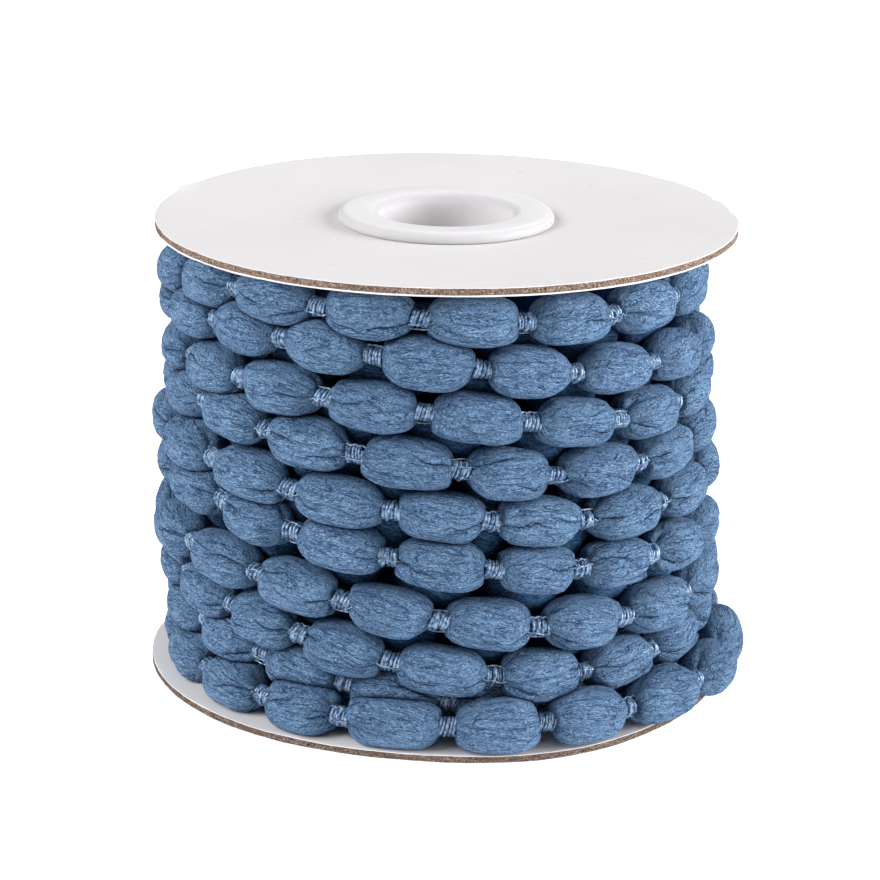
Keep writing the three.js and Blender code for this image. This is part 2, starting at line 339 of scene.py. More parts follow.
def pods_between(waists, thick, depth=0.0, drop=0.0):
    """A pod from each waist to the next, shortened by half a binding at both ends."""
    pods = []
    for first, last in zip(waists, waists[1:]):
        middle = (first + last) / 2
        half = math.degrees(BINDING_LENGTH / 2 / (strand_radius(middle) - depth))
        turn = int(middle + 180) // 360
        girth = 1.0
        if turn == LAST and depth == 0:
            from_fullest = middle - 360 * LAST - FULLEST_ANGLE
            bulge = math.exp(-((from_fullest / FULLEST_REACH) ** 2))
            girth = LAST_TURN_GIRTH + FULLEST_GIRTH * bulge
        pods.append(Pod(first + half, last - half, turn, thick * girth, depth, drop))
    return pods


def add_pinches(pods):
    """At each waist carry threads pull in the pods on both sides at the same places.

    A place is an angle round the pod, 0 in front, and has its reach along the pod and its depth.
    """
    for left, right in zip(pods, pods[1:]):
        places = [random.uniform(2.5, 3.8)]
        if random.random() < 0.5:
            places.append(random.uniform(-0.5, 0.5))
        if random.random() < 0.45:
            places.append(random.uniform(1.1, 1.6))
        if random.random() < 0.4:
            places.append(random.uniform(-1.6, -1.1))
        for around in places:
            in_front = abs(around) < 1
            reach = random.uniform(0.22, 0.75, 2) if in_front else random.uniform(0.1, 0.4, 2)
            deep = random.uniform(0.7, 1.1, 2) if in_front else random.uniform(0.4, 0.9, 2)
            left.pinches[1].append((around, reach[0], deep[0]))
            right.pinches[0].append((around + random.uniform(-0.25, 0.25), reach[1], deep[1]))


def pod_template(around, along):
    """A closed round bead along Z, whose vertices each pod moves into its own shape."""
    bm = bmesh.new()
    bmesh.ops.create_uvsphere(bm, u_segments=around, v_segments=along, radius=1.0)
    return mesh_of("pod_template", bm)


def pod_relief(pod, t, around):
    """The share of its plain thickness that a soft pod keeps, painted shade for its hollows, its
    notches and creases.

    A crease is its signed distance around the pod in millimetres and its strength.
    """
    keep = np.ones_like(t)
    hollow_shade = np.zeros_like(t)
    notch = np.zeros_like(t)
    crease = np.full_like(t, 9.0)
    strength = np.zeros_like(t)
    phases = random.uniform(0, TAU, 14)
    keep += 0.018 * np.sin(2 * around + 2.1 * t + phases[0])
    keep += 0.014 * np.sin(3 * around - 3.0 * t + phases[1])
    keep += 0.010 * np.sin(5 * around + 5.0 * t + phases[2]) * np.cos(4 * t + phases[3])
    keep += 0.020 * np.sin(3.2 * t + phases[4])

    # Ripples run along the fibre. They are plain on the side that shows.
    shows = 0.25 + 0.75 * smooth_step(-0.3, 0.5, np.cos(around))
    for i, waves in enumerate((13, 19, 27)):
        sway = 0.7 * np.sin(3.1 * t + phases[8 + i]) + 0.3 * np.sin(8.3 * t + phases[5 + i])
        ripple = np.abs(np.sin(0.5 * waves * (around + pod.twist * t) + sway + phases[11 + i]))
        keep += 0.010 * shows * (ripple - 0.6)
        # Painted shade lies in the ripples' troughs.
        hollow_shade += 0.22 * shows * (1 - ripple) ** 3

    # Gathers fan out from both ends, some deeper than others.
    pleats = int(random.integers(10, 14))
    fold = np.sin(pleats * around + 0.9 * np.sin(3 * around + phases[5]) + 1.2 * t)
    unlike = 0.65 + 0.35 * np.sin(2 * around + phases[6])
    near_end = smooth_step(0.5, 0.95, np.abs(t))
    keep -= 0.035 * near_end * unlike * (0.5 - 0.5 * fold)
    # Painted shade lies in the gathers' folds.
    hollow_shade += 0.45 * near_end * unlike * np.clip(-fold, 0, 1) ** 2

    # A thin crease runs in from each pinch between two cheeks, and fades along the pod.
    for end, pinches in zip((-1, 1), pod.pinches):
        from_end = (1 - end * t) / 2
        for where, reach, deep in pinches:
            drift = 0.6 * from_end * np.sin(5 * from_end + phases[7])
            off = (around - where - drift + math.pi) % TAU - math.pi
            fading = 1 - smooth_step(0.5 * reach, reach, from_end)
            furrow = np.exp(-((off / 0.10) ** 2)) * fading
            cheeks = np.exp(-(((np.abs(off) - 0.5) / 0.3) ** 2))
            cheeks *= 1 - smooth_step(0.02, 0.25, from_end)
            keep += 0.04 * deep * cheeks - 0.09 * deep * furrow
            # Painted shade lies along the furrow.
            hollow_shade += 0.25 * deep * furrow
            notch += deep * np.exp(-((off / 0.24) ** 2)) * (1 - smooth_step(0.02, 0.3, from_end))
            here = np.minimum(deep, 1) * fading * (1 - smooth_step(0.25, 0.5, np.abs(off)))
            crease = np.where(here > strength, off * pod.thick, crease)
            strength = np.maximum(strength, here)
    return keep, hollow_shade, notch, crease, strength


def pod_vertices(pod, unit):
    """Places, fibre coordinates, painted hollow shade and creases of the template's vertices on one
    pod.
    """
    # The template's rows crowd towards the pod's two ends.
    t = np.sign(unit[:, 2]) * np.abs(unit[:, 2]) ** 0.74
    around = np.arctan2(unit[:, 1], unit[:, 0])
    around -= CROWDING * np.sin(around)
    off_axis = np.hypot(unit[:, 0], unit[:, 1])
    keep, hollow_shade, notch, crease, strength = pod_relief(pod, t, around)
    lobes = 0.5 * np.sin(around + pod.seed[0]) + 0.25 * np.sin(2 * around + pod.seed[1])
    near_end = smooth_step(0.5, 0.92, np.abs(t)) * off_axis**0.3
    reach = near_end * np.sign(t) * (lobes - 0.9 * np.minimum(notch, 1.2))
    places = pod.surface(t, around, keep) + np.outer(reach, pod.along)

    # Fibre coordinates run along the pod and turn round it with its twist.
    turned = around + pod.twist * t
    width = pod.thick * (0.25 + 0.75 * pod.profile(t))
    fibre = np.stack([t * pod.half, width * np.cos(turned), width * np.sin(turned)], axis=1)
    return places, t, fibre + pod.seed, hollow_shade, np.stack([crease, strength, 0 * t], axis=1)


def pressed(pod, places, t, neighbours):
    """Draws a pod's surface in to where it meets its neighbours, and says how near they are."""
    axis = pod.axis(t)
    offset = places - axis
    nearest = np.full(len(places), 9.0)
    share = np.ones(len(places))
    for other in neighbours:
        ratio = other.press(places) / pod.press(places)
        nearest = np.minimum(nearest, ratio)
        inside = ratio < 1 + PRESS_GAP
        if not inside.any():
            continue
        low = np.zeros(inside.sum())
        high = np.ones(inside.sum())
        for _ in range(PRESS_HALVINGS):
            middle = (low + high) / 2
            trial = axis[inside] + middle[:, None] * offset[inside]
            too_deep = other.press(trial) < pod.press(trial) * (1 + PRESS_GAP)
            high = np.where(too_deep, middle, high)
            low = np.where(too_deep, low, middle)
        share[inside] = np.minimum(share[inside], low)
    return axis + share[:, None] * offset, nearest


def disc_height(radius):
    """Height of the upper disc's top face, which the hub draws in towards the middle."""
    return COLLAR_STAND + RIM_TO_RIM - DISH * (DISC_RADIUS - radius) / (DISC_RADIUS - CENTRE_HOLE)


def between_discs(places):
    """Keeps places between the two discs, but lets them sag outside the lower one's rim."""
    radius = np.hypot(places[:, 0], places[:, 1])
    over_disc = np.minimum(radius, DISC_RADIUS)
    highest = disc_height(over_disc) - BOARD - 0.1
    lowest = WHOLE_HEIGHT - highest
    lowest = lowest - RIM_SAG * smooth_step(DISC_RADIUS + 0.1, DISC_RADIUS + 1.6, radius)
    settled = places.copy()
    settled[:, 2] = np.clip(places[:, 2], lowest, highest)
    return settled


def pods_piece(name, pods, everyone, template, material):
    """All pods of one turn as one piece."""
    unit = get_places(template) * MM
    bm = bmesh.new()
    for _ in pods:
        bm.from_mesh(template)
    mesh = mesh_of(name, bm)
    places, fibres, hollow_shades, creases, tones_and_shades = [], [], [], [], []
    for pod in pods:
        own, t, fibre, hollow_shade, crease = pod_vertices(pod, unit)
        reach = PRESS_REACH * pod.half
        near = [other for other in everyone if np.linalg.norm(other.centre - pod.centre) < reach]
        neighbours = [other for other in near if other is not pod and other not in pod.beside]
        own, nearest = pressed(pod, own, t, neighbours)
        # Painted shade darkens the pod where it nears or touches its neighbours.
        contact_shade = np.exp(-np.clip(nearest - 1, 0, 9) / 0.10)
        places.append(between_discs(own))
        fibres.append(fibre)
        creases.append(crease)
        hollow_shades.append(np.clip(hollow_shade + 0.8 * contact_shade, 0, 1))
        tones_and_shades.append(np.full(len(own), pod.tone))
    set_places(mesh, np.concatenate(places))
    read = {"fibre": fibres, "crease": creases, "hollow_shade": hollow_shades, "tone": tones_and_shades}
    for attribute, values in read.items():
        set_attribute(mesh, attribute, np.concatenate(values))
    return add_object(name, mesh, [material])


def link_beside(pods):
    """Notes for each pod the ones before and after it on the strand, which it doesn't touch."""
    for i, pod in enumerate(pods):
        pod.beside = pods[max(i - 1, 0) : i] + pods[i + 1 : i + 2]


# Bindings and threads


def tubes_mesh(name, paths, radii, sides_level=1):
    """Round threads along paths, all in one mesh, each with its own radius and closed ends."""
    curve = bpy.data.curves.new(name, "CURVE")
    curve.dimensions = "3D"
    curve.bevel_depth = MM
    curve.bevel_resolution = sides_level
    curve.use_fill_caps = True
    for path, radius in zip(paths, radii):
        spline = curve.splines.new("POLY")
        spline.points.add(len(path) - 1)
        row = np.ones((len(path), 4))
        row[:, :3] = np.asarray(path) * MM
        spline.points.foreach_set("co", row.ravel())
        spline.points.foreach_set("radius", np.broadcast_to(radius, len(path)).astype(np.float32))
    drawn = new_object(name, curve)
    bpy.context.view_layer.update()
    depsgraph = bpy.context.evaluated_depsgraph_get()
    mesh = bpy.data.meshes.new_from_object(drawn.evaluated_get(depsgraph))
    mesh.name = name
    bpy.data.objects.remove(drawn)
    bpy.data.curves.remove(curve)
    return mesh


def round_binding(start, end, out, place, around, radius):
    """A path round a binding, from its places along it, its angles and its distances from it."""
    along = (end - start) / np.linalg.norm(end - start)
    out = out - out @ along * along
    out /= np.linalg.norm(out)
    side = np.outer(np.cos(around), out) + np.outer(np.sin(around), np.cross(out, along))
    return start + np.outer(place, along) + radius[:, None] * side


def coil_path(start, end, out, thick):
    """One binding thread, wound in close turns from pod to pod."""
    length = np.linalg.norm(end - start)
    turns = round(length / (1.95 * thick))
    share = np.linspace(0, 1, turns * COIL_STEPS + 1)
    around = TAU * turns * share + random.uniform(0, TAU)
    slant = random.uniform(-0.4, 0.4)
    wobble = 0.06 * np.sin(around * 0.37 + random.uniform(0, TAU))
    waist = random.uniform(0.97, 1.12) - 0.08 * np.sin(math.pi * share)
    radius = BINDING_RADIUS * waist + wobble
    place = share * length + slant * np.sin(around) + 0.07 * np.sin(around * 0.29 + 1.0)
    return round_binding(start, end, out, place, around, radius)


def loose_turn(start, end, out):
    """A last turn of thread that lies slanting over the others."""
    length = np.linalg.norm(end - start)
    steps = np.linspace(0, 1, 15)
    around = random.uniform(-2.6, -1.6) + random.uniform(2.6, 4.2) * steps
    begins = random.uniform(0.25, 0.45)
    crosses = random.uniform(0.10, 0.35)
    place = length * (begins + crosses * smooth_step(0.1, 0.9, steps))
    radius = BINDING_RADIUS * 0.95 + 0.34 * np.sin(math.pi * steps) ** 0.5
    return round_binding(start, end, out, place, around, radius)


def carry_path(start, end, out, around_left, around_right):
    """A thin thread out of one pod's crease, across the binding and into the next pod's."""
    share = np.linspace(-0.22, 1.22, 16)
    crossing = smooth_step(0.0, 1.0, share)
    if random.random() < 0.3:
        bends = 0.12 * np.sin(17 * share)
    else:
        bends = 0.05 * np.sin(9 * share + random.uniform(0, TAU))
    around = around_left + (around_right - around_left) * crossing + bends
    raised = np.sin(math.pi * np.clip(share, 0, 1))
    radius = BINDING_RADIUS + THREAD_RADIUS + 0.02 + random.uniform(0.0, 0.25) * raised
    radius -= 1.6 * np.maximum(0, np.abs(share - 0.5) - 0.5)
    place = share * np.linalg.norm(end - start)
    return round_binding(start, end, out, place, around, radius)


def stray_path(pod):
    """A loose fibre that lifts off a pod."""
    steps = np.linspace(0, 1, 6)
    t = random.uniform(-0.85, 0.85) + random.uniform(-0.3, 0.3) * steps
    around = random.uniform(-2.0, 2.0) + random.uniform(-0.6, 0.6) * steps**2
    lift = random.uniform(0.03, 0.12) * np.sin(math.pi * steps * random.uniform(0.5, 1.0))
    return pod.surface(np.clip(t, -0.97, 0.97), around, 0.99 + lift)


def bindings(pods, thread, bright_thread, shaded_core):
    """Thread coils at all waists, the gathered fibre in them, carry threads and stray fibres."""
    coils, thickness, cores, carries = [], [], [], []
    for left, right in zip(pods, pods[1:]):
        start = left.axis(1.0) - 0.5 * left.along
        end = right.axis(-1.0) + 0.5 * right.along
        out = left.out + right.out
        thick = THREAD_RADIUS * random.uniform(0.85, 1.25)
        coils.append(coil_path(start, end, out, thick))
        thickness.append(thick)
        if random.random() < 0.5:
            coils.append(loose_turn(start, end, out))
            thickness.append(thick)
        cores.append(np.linspace(start, end, 4))
        for (around, _, _), (opposite, _, _) in zip(left.pinches[1], right.pinches[0]):
            carries.append(carry_path(start, end, out, around, opposite))
    strays = [stray_path(pod) for pod in pods for _ in range(STRAY_FIBRES)]
    core_radii = [BINDING_RADIUS - 0.08] * len(cores)
    carry_radii = [CARRY_RADIUS * random.uniform(0.8, 1.3) for _ in carries]
    fading = STRAY_RADIUS * np.array((1, 1, 1, 0.9, 0.7, 0.4))
    for name, paths, radii, level, material in (
        ("binding_coils", coils, thickness, 1, thread),
        ("binding_cores", cores, core_radii, 3, shaded_core),
        ("carry_threads", carries, carry_radii, 1, bright_thread),
        ("stray_fibres", strays, [fading] * len(strays), 0, bright_thread),
    ):
        piece = add_object(name, tubes_mesh(name, paths, radii, level), [material])
        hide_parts("winding")


# Discs and hub


def spun(name, outline, steps):
    """A section of radius and height points spun round the spool's axis, its normals outwards."""
    bm = bmesh.new()
    verts = [bm.verts.new((r * MM, 0, z * MM)) for r, z in outline]
    edges = [bm.edges.new(pair) for pair in zip(verts, verts[1:] + verts[:1])]
    bmesh.ops.spin(
        bm,
        geom=verts + edges,
        cent=(0, 0, 0),
        axis=(0, 0, 1),
        dvec=(0, 0, 0),
        angle=TAU,
        steps=steps,
        use_merge=True,
        use_duplicate=False,
    )
    bmesh.ops.recalc_face_normals(bm, faces=bm.faces)
    return mesh_of(name, bm)


def arc(centre, radius, first, last, steps):
    """Points on part of a circle, angles in degrees."""
    angles = np.radians(np.linspace(first, last, steps + 1))
    return [(centre[0] + radius * math.cos(a), centre[1] + radius * math.sin(a)) for a in angles]


def flipped(outline):
    """The lower piece's outline: the upper one upside down."""
    return [(r, WHOLE_HEIGHT - z) for r, z in outline]


# Damage on the upper disc's rim: angle and width in degrees, how far it is worn in and bent down.
RIM_WEAR = (
    (98.0, 1.6, 0.35, 0.10),
    (108.5, 1.2, 0.45, 0.15),
    (-111.0, 3.2, -0.25, -0.35),
    (-55.0, 1.0, 0.15, 0.0),
    (-36.0, 0.9, 0.20, 0.0),
    (34.0, 1.0, 0.15, 0.0),
)

# Each disc: its own radius, how far it lies off the axis along X, how much it leans that way, how
# far its rim droops round DROOP_ANGLE in degrees, and a darkening of its cut edge, painted shade on
# the lower disc.
UPPER_DISC = {"radius": 49.6, "shift": 0.08, "lean": 0.0, "droop": 0.0, "shade": 1.0}
LOWER_DISC = {"radius": 49.95, "shift": -0.7, "lean": 0.006, "droop": 0.95, "shade": 0.84}
DROOP_ANGLE = 26
DROOP_REACH = 26


def mark_edge_faces(mesh, outermost):
    """Gives the cut edge between the two facing papers the board's own material."""
    centres = np.zeros(len(mesh.polygons) * 3, np.float32)
    mesh.polygons.foreach_get("center", centres)
    centres = centres.reshape(-1, 3) / MM
    at_rim = np.hypot(centres[:, 0], centres[:, 1]) > outermost - 0.035
    low, high = centres[at_rim, 2].min(), centres[at_rim, 2].max()
    over_paper = centres[:, 2] > low + UNDER_FACING * 0.6
    under_paper = centres[:, 2] < high - UPPER_FACING * 0.6
    on_edge = at_rim & over_paper & under_paper
    mesh.polygons.foreach_set("material_index", on_edge.astype(np.int32))


def board_disc(name, is_lower, paper, edge):
    """A board disc with white paper on both faces, a rough cut edge and a drawn-in middle."""
    sits = LOWER_DISC if is_lower else UPPER_DISC
    outermost = sits["radius"]

    # The section's points lie closer together towards the rim, where the board is worn.
    radii = (CENTRE_HOLE, 15, 17, 19, 22, 26, 30, 34, 38, 42, 45, 47, 48.3, 49.0, outermost - 0.3)
    top = [(r, disc_height(r)) for r in radii]
    bottom = [(r, z - BOARD) for r, z in top]
    rim_top = disc_height(outermost)
    above, below = (UNDER_FACING, UPPER_FACING) if is_lower else (UPPER_FACING, UNDER_FACING)
    layers = np.linspace(rim_top - above, rim_top - BOARD + below, 7)
    rim = [(outermost - 0.04, rim_top - 0.02)]
    rim += [(outermost, z) for z in layers]
    rim += [(outermost - 0.04, rim_top - BOARD + 0.02)]
    outline = bottom[::-1] + top + rim
    mesh = spun(name, flipped(outline) if is_lower else outline, DISC_STEPS)
    mark_edge_faces(mesh, outermost)

    # The cut edge is rough, layer by layer, and the whole disc is a little warped.
    places = get_places(mesh)
    angle = np.degrees(np.arctan2(places[:, 0], -places[:, 1]))
    radius = np.hypot(places[:, 0], places[:, 1])
    at_rim = smooth_step(48.0, outermost - 0.1, radius)
    on_edge = radius > outermost - 0.07
    middle = (places[:, 2].max() + places[:, 2].min()) / 2
    rough = sum(
        size * np.sin(waves * np.radians(angle) + 2.3 * (places[:, 2] - middle) + phase)
        for size, waves, phase in zip(
            (0.030, 0.024, 0.020, 0.016),
            (23, 57, 101, 139),
            random.uniform(0, TAU, 4),
        )
    )
    layer_wear = 0.05 * np.sin(9 * places[:, 2] + 3 * np.sin(np.radians(angle) * 7))
    grow = np.where(on_edge, rough + layer_wear, 0.3 * rough * at_rim)
    if not is_lower:
        for where, width, worn, bent in RIM_WEAR:
            near = np.exp(-(((angle - where) / width) ** 2)) * at_rim
            grow -= worn * near
            places[:, 2] -= bent * near
    warp = 0.06 * np.sin(2 * np.radians(angle) + 0.6) + 0.03 * np.sin(5 * np.radians(angle) + 2.0)
    outer = smooth_step(20, 50, radius)
    places[:, 2] += warp * outer
    places[:, 2] -= sits["droop"] * outer * np.exp(-(((angle - DROOP_ANGLE) / DROOP_REACH) ** 2))
    places[:, 2] -= sits["lean"] * places[:, 0]
    places[:, :2] *= (1 + grow / radius)[:, None]
    places[:, 0] += sits["shift"] * outer
    set_places(mesh, places)
    piece = add_object(name, mesh, [paper, edge])
    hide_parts("disc_lower" if is_lower else "disc_upper")
    mesh.set_sharp_from_angle(angle=SHARP_ANGLE)
    return piece


def hub_half(name, is_lower, plastic):
    """A hub half: tube, flange under the rounded collar, and a rounded mouth into the bore."""
    face = WHOLE_HEIGHT
    foot = COLLAR_STAND + (RIM_TO_RIM + CLEAR) / 2
    rim_foot = disc_height(COLLAR_RADIUS) + 0.05
    shoulder = 1.35
    lip = 1.7
    outline = [(BORE_RADIUS, foot), (TUBE_RADIUS, foot), (TUBE_RADIUS, rim_foot)]
    outline += [(COLLAR_RADIUS - 0.25, rim_foot)]
    outline += arc((COLLAR_RADIUS - 0.25, rim_foot + 0.25), 0.25, -90, 0, 4)[1:]
    outline += arc((COLLAR_RADIUS - shoulder, face - shoulder), shoulder, 0, 90, 12)
    outline += [(COLLAR_RADIUS - 2.6, face)]
    outline += arc((BORE_RADIUS + lip, face - lip), lip, 90, 180, 14)

    # Two more rings down the bore keep its faces from growing too long.
    outline += [(BORE_RADIUS, face - 9), (BORE_RADIUS, face - 22)]
    mesh = spun(name, flipped(outline) if is_lower else outline, HUB_STEPS)

    # Painted shade greys the plastic along the rounded edges, and painted light whitens the flat
    # ring between them.
    places = get_places(mesh)
    radius = np.hypot(places[:, 0], places[:, 1])
    level = WHOLE_HEIGHT - places[:, 2] if is_lower else places[:, 2]
    shoulder_shade_part = smooth_step(COLLAR_RADIUS - 1.3, COLLAR_RADIUS - 0.3, radius)
    lip_shade_part = smooth_step(BORE_RADIUS + 1.6, BORE_RADIUS + 0.5, radius)
    lip_shade_part *= smooth_step(face - 2, face - 0.9, level)
    flat_light_part = smooth_step(BORE_RADIUS + 1.0, BORE_RADIUS + 1.8, radius) * (1 - shoulder_shade_part)
    set_attribute(mesh, "rounding_shade", np.clip(shoulder_shade_part + lip_shade_part, 0, 1))
    set_attribute(mesh, "flat_light", flat_light_part * smooth_step(face - 0.6, face - 0.1, level))
    piece = add_object(name, mesh, [plastic])
    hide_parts("hub_lower" if is_lower else "hub_upper")
    mesh.set_sharp_from_angle(angle=SHARP_ANGLE)
    return piece


# Node helpers


def add_node(tree, kind, settings=None, inputs=None):
    """A shader node with its settings made and its inputs linked or filled."""
    node = tree.nodes.new(kind)
    for name, value in (settings or {}).items():
        setattr(node, name, value)
    for key, value in (inputs or {}).items():
        socket = node.inputs[key]
        if isinstance(value, bpy.types.NodeSocket):
            tree.links.new(value, socket)
        else:
            socket.default_value = value
    return node


def math_of(tree, operation, first, second=0.0, third=0.0, clamped=False):
    settings = {"operation": operation, "use_clamp": clamped}
    return add_node(tree, "ShaderNodeMath", settings, {0: first, 1: second, 2: third}).outputs[0]


def mix_of(tree, mask, first, second, share=1.0):
    """The first colour, and a share of the second over it where the mask is 1."""
    if share < 1:
        mask = math_of(tree, "MULTIPLY", mask, share)
    inputs = {0: mask, 6: first, 7: second}
    return add_node(tree, "ShaderNodeMix", {"data_type": "RGBA"}, inputs).outputs[2]


def ramp_of(tree, factor, low, high):
    """0 under low, 1 over high and smooth between."""
    settings = {"interpolation_type": "SMOOTHSTEP"}
    inputs = {"Value": factor, "From Min": low, "From Max": high, "To Min": 0.0, "To Max": 1.0}
    return add_node(tree, "ShaderNodeMapRange", settings, inputs).outputs[0]


def stretched(tree, coordinates, scale):
    """Coordinates scaled along each axis."""
    inputs = {"Vector": coordinates, "Scale": scale}
    return add_node(tree, "ShaderNodeMapping", {"vector_type": "POINT"}, inputs).outputs[0]


def noise_of(tree, coordinates, scale, detail=1.0, rough=0.5, warp=0.0, output="Fac"):
    """Noise of one scale, or of a scale for each axis."""
    if isinstance(scale, tuple):
        coordinates = stretched(tree, coordinates, scale)
        scale = 1.0
    inputs = {
        "Vector": coordinates,
        "Scale": scale,
        "Detail": detail,
        "Roughness": rough,
        "Distortion": warp,
    }
    return add_node(tree, "ShaderNodeTexNoise", {"noise_dimensions": "3D"}, inputs).outputs[output]


def attribute_of(tree, name, output="Fac"):
    return add_node(tree, "ShaderNodeAttribute", {"attribute_name": name}).outputs[output]


def object_place(tree):
    return add_node(tree, "ShaderNodeTexCoord").outputs["Object"]


def bump_of(tree, height, strength, distance):
    inputs = {"Height": height, "Strength": strength, "Distance": distance}
    return add_node(tree, "ShaderNodeBump", None, inputs).outputs[0]


def new_group(name, place, masks):
    """An empty shader node group from a place to masks, and its two end nodes."""
    group = bpy.data.node_groups.new(name, "ShaderNodeTree")
    group.interface.new_socket(place, in_out="INPUT", socket_type="NodeSocketVector")
    for mask in masks:
        group.interface.new_socket(mask, in_out="OUTPUT", socket_type="NodeSocketFloat")
    return group, group.nodes.new("NodeGroupInput"), group.nodes.new("NodeGroupOutput")


def new_material(name, **constants):
    """A Principled material, its tree and its shader, with constant sockets set."""
    material = bpy.data.materials.new(name)
    material.use_nodes = True
    tree = material.node_tree
    shader = tree.nodes["Principled BSDF"]
    for key, value in constants.items():
        shader.inputs[key.replace("_", " ")].default_value = value
    return material, tree, shader


def wire(tree, shader, **sources):
    """Links what varies over the surface to the shader's sockets."""
    for key, source in sources.items():
        tree.links.new(source, shader.inputs[key.replace("_", " ")])


def colour(red, green, blue):
    """A colour given as it shows on screen, 0 to 255, as the linear one that shaders take."""
    shown = np.array((red, green, blue)) / 255
    linear = np.where(shown <= 0.04045, shown / 12.92, ((shown + 0.055) / 1.055) ** 2.4)
    return (*linear, 1.0)


# Finishes


def line_of(tree, field, level, reach):
    """A mask that is 1 where a field has the level and falls to 0 at reach from it."""
    away = math_of(tree, "ABSOLUTE", math_of(tree, "SUBTRACT", field, level))
    return ramp_of(tree, away, reach, 0.0)


def fibre_group():
    """Wavy hairlines along brushed fibre: dark, light and broad masks, and their height."""
    masks = ("Dark", "Light", "Broad", "Height")
    group, given, results = new_group("brushed_fibre", "Place", masks)
    place = given.outputs["Place"]
    wander = noise_of(group, place, (0.9, 1.2, 1.2), 2.0, output="Color")
    move = {0: wander, 1: (0.35, 0.5, 0.5), 2: place}
    moved = add_node(group, "ShaderNodeVectorMath", {"operation": "MULTIPLY_ADD"}, move).outputs[0]
    lines = noise_of(group, moved, (0.10, 0.6, 0.6))
    wisps = noise_of(group, moved, (0.27, 1.6, 1.6))
    finer = noise_of(group, moved, (0.7, 3.6, 3.6))
    grain = noise_of(group, moved, (2.0, 9.0, 9.0))
    patch = noise_of(group, place, (0.4, 1.2, 1.2))
    broad = noise_of(group, place, (0.22, 0.45, 0.45))
    broken = ramp_of(group, grain, 0.66, 0.40)
    seen = ramp_of(group, patch, 0.38, 0.50)
    crack = math_of(group, "MULTIPLY", line_of(group, lines, 0.5, 0.04), seen)
    stroke = math_of(group, "MULTIPLY", line_of(group, wisps, 0.5, 0.05), broken)
    hair = math_of(group, "MULTIPLY", line_of(group, finer, 0.5, 0.07), broken)
    dark = math_of(group, "MAXIMUM", crack, math_of(group, "MULTIPLY", stroke, 0.85))
    dark = math_of(group, "MAXIMUM", dark, math_of(group, "MULTIPLY", hair, 0.6))
    pits = math_of(group, "MULTIPLY", ramp_of(group, grain, 0.50, 0.36), 0.35)
    swell = math_of(group, "MULTIPLY", math_of(group, "ADD", grain, wisps), 0.75)
    wire(
        group,
        results,
        Dark=math_of(group, "MAXIMUM", dark, pits),
        Light=ramp_of(group, grain, 0.52, 0.66),
        Broad=broad,
        Height=math_of(group, "MULTIPLY_ADD", dark, -0.9, swell),
    )
    return group


# Shades of the brushed fibre: its plain one, its light flecks, its dark strokes, and the painted
# shade of its creases and hollows.
FIBRE_SHADES = ((114, 151, 190), (174, 200, 226), (6, 49, 91), (0, 22, 58))

# The share of them that each layer shows, in red, green and blue, and of each pod's tone, which is
# partly painted shade.
OUTER_SHARE = (1.0, 1.0, 1.0)
# The inner layer is the same fibre, painted darker and bluer as shade.
INNER_PAINTED_SHADE = (0.62, 0.76, 0.84)
TONE_AND_SHADE_SHARE = 0.06


def pod_material(name, group, share):
    """Dusty blue brushed fibre, with painted shade in its hollows and creases and where pods touch.
    """
    material, tree, shader = new_material(
        name, Roughness=0.85, Sheen_Weight=0.14, Sheen_Roughness=0.25, Specular_IOR_Level=0.12
    )
    shader.inputs["Sheen Tint"].default_value = colour(125, 168, 232)
    place = attribute_of(tree, "fibre", "Vector")
    streaks = add_node(tree, "ShaderNodeGroup", {"node_tree": group}, {"Place": place})
    middle, light, dark, deep = (colour(*(np.array(share) * shown)) for shown in FIBRE_SHADES)
    base = mix_of(tree, streaks.outputs["Dark"], middle, dark, 0.9)
    base = mix_of(tree, streaks.outputs["Light"], base, light, 0.5)
    base = mix_of(tree, ramp_of(tree, streaks.outputs["Broad"], 0.35, 0.65), base, dark, 0.15)
    # A pod's tone darkens it, at random and as painted shade by its place round the winding.
    tone = math_of(tree, "MULTIPLY_ADD", attribute_of(tree, "tone"), TONE_AND_SHADE_SHARE, TONE_AND_SHADE_SHARE)
    base = mix_of(tree, tone, base, dark)
    # Painted shade in the hollows and where pods touch.
    base = mix_of(tree, attribute_of(tree, "hollow_shade"), base, deep, 0.75)

    # The creases from the pinches are thin wavering lines of painted shade.
    crease = attribute_of(tree, "crease", "Vector")
    off, strength, _ = add_node(tree, "ShaderNodeSeparateXYZ", inputs={0: crease}).outputs
    waver = noise_of(tree, place, (1.2, 0.6, 0.6), 2.0, 0.6)
    line = line_of(tree, math_of(tree, "ADD", off, waver), 0.5, 0.24)
    line = math_of(tree, "MULTIPLY", line, strength, clamped=True)
    base = mix_of(tree, line, base, deep)
    height = math_of(tree, "MULTIPLY_ADD", line, -1.5, streaks.outputs["Height"])
    wire(tree, shader, Base_Color=base, Normal=bump_of(tree, height, 1.0, 0.0004))
    return material


def thread_material(name, dull, bright):
    """Smooth thread with a silky gloss and a fine twist, from a dull to a bright colour."""
    material, tree, shader = new_material(name, Specular_IOR_Level=0.8, Metallic=0.3)
    shader.inputs["Specular Tint"].default_value = colour(200, 214, 234)
    place = object_place(tree)
    mottle = noise_of(tree, place, 1400.0, 2.0, 0.6, 0.3)
    base = mix_of(tree, ramp_of(tree, mottle, 0.38, 0.62), dull, bright)
    rough = math_of(tree, "MULTIPLY_ADD", mottle, 0.25, 0.16)
    normal = bump_of(tree, mottle, 0.8, 0.00015)
    wire(tree, shader, Base_Color=base, Roughness=rough, Normal=normal)
    return material


